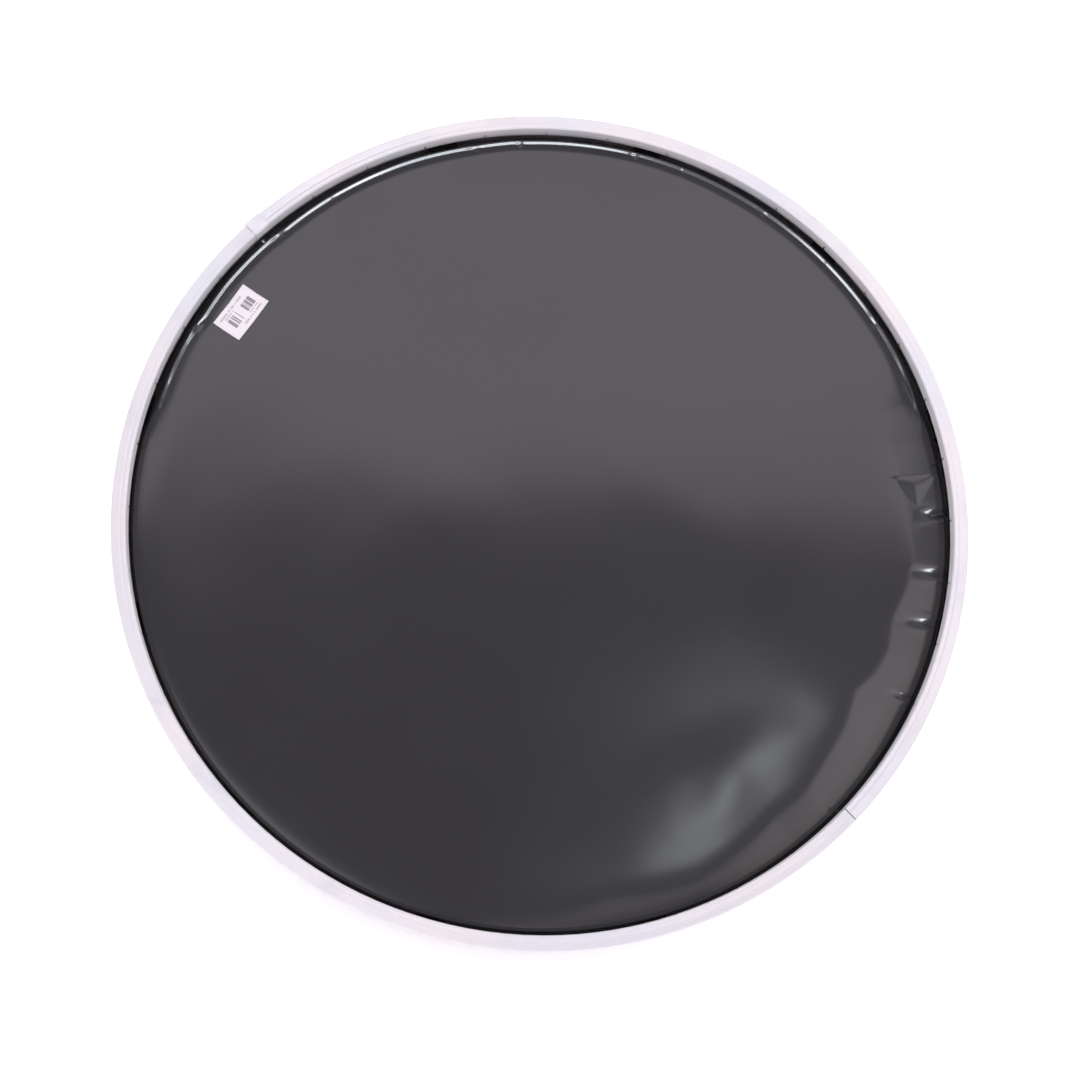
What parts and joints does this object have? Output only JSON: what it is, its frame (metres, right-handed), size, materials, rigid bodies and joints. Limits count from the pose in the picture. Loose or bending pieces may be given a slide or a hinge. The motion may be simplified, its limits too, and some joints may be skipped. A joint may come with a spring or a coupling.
{
  "type": "spare tire cover",
  "caption": "Round spare tire cover: hinged two-half aluminium ring that clamps the tread, padded black vinyl face panel behind its lip, key lock at the seam.",
  "frame": {"origin": "on the ring's axis, in the plane of the open rear rim that the cover stands on when it lies face up", "axes": "+Z out of the covered face, along the tyre's axis; +Y towards the hinge; -Y towards the lock; the two halves' seams lie in the X = 0 plane"},
  "size_m": [0.7012, 0.722, 0.2109],
  "materials": {
    "ring_aluminium": "bright rolled aluminium sheet, fine circumferential grain",
    "black_vinyl": "satin black vinyl, calendered, lightly waved",
    "backing_board": "brown pressed hardboard, matte",
    "foam": "dark closed-cell foam",
    "rubber_trim": "matte black extruded rubber",
    "rubber_pad": "matte black ribbed rubber",
    "staple_steel": "galvanised wire",
    "black_bracket": "black coated spring steel",
    "stainless": "brushed stainless",
    "rivet_aluminium": "plain aluminium rivet",
    "lock_zinc": "satin chromed die-cast zinc",
    "lock_brass": "bright plated brass",
    "cam_steel": "zinc plated steel",
    "screw_black": "black oxide steel",
    "label_paper": "white self-adhesive paper label"
  },
  "bodies": {
    "fixed_half": {"band_left": "ring_aluminium", "lip_joint_sleeve": "ring_aluminium", "rear_trim_left": "rubber_trim", "tread_pads_left": "rubber_pad", "hinge_leaf_left": "stainless", "hinge_pin": "stainless", "hinge_rivets_left": "rivet_aluminium", "overlap_strap": "ring_aluminium", "strap_rivets": "rivet_aluminium", "sleeve_rivet": "rivet_aluminium", "backing_board": "backing_board", "foam_pad": "foam", "vinyl_skin": "black_vinyl", "skin_staples": "staple_steel", "barcode_label": "label_paper", "edge_tabs": "black_bracket", "tab_screws": "screw_black", "panel_clips_left": "black_bracket", "clip_rivets_left": "rivet_aluminium", "clip_screws": "screw_black", "lock_housing": "lock_zinc", "lock_gasket": "rubber_trim", "lock_rivets": "rivet_aluminium"},
    "moving_half": {"band_right": "ring_aluminium", "rear_trim_right": "rubber_trim", "tread_pads_right": "rubber_pad", "hinge_leaf_right": "stainless", "hinge_rivets_right": "rivet_aluminium", "panel_clips_right": "black_bracket", "clip_rivets_right": "rivet_aluminium", "strike_tongue": "lock_zinc", "tongue_rivets": "rivet_aluminium"},
    "lock_core": {"lock_barrel": "lock_brass", "lock_cam": "cam_steel", "cam_screw": "cam_steel"}
  },
  "joints": [
    {"name": "ring_swing", "type": "hinge", "parent": "fixed_half", "child": "moving_half", "pos_m": [0, 0.354, 0.0795], "axis": [0, 0, 1], "range_deg": [0, 24]},
    {"name": "lock_turn", "type": "hinge", "parent": "fixed_half", "child": "lock_core", "pos_m": [-0.03, -0.3575, 0.097], "axis": [0, 1, 0], "range_deg": [0, 90]}
  ]
}
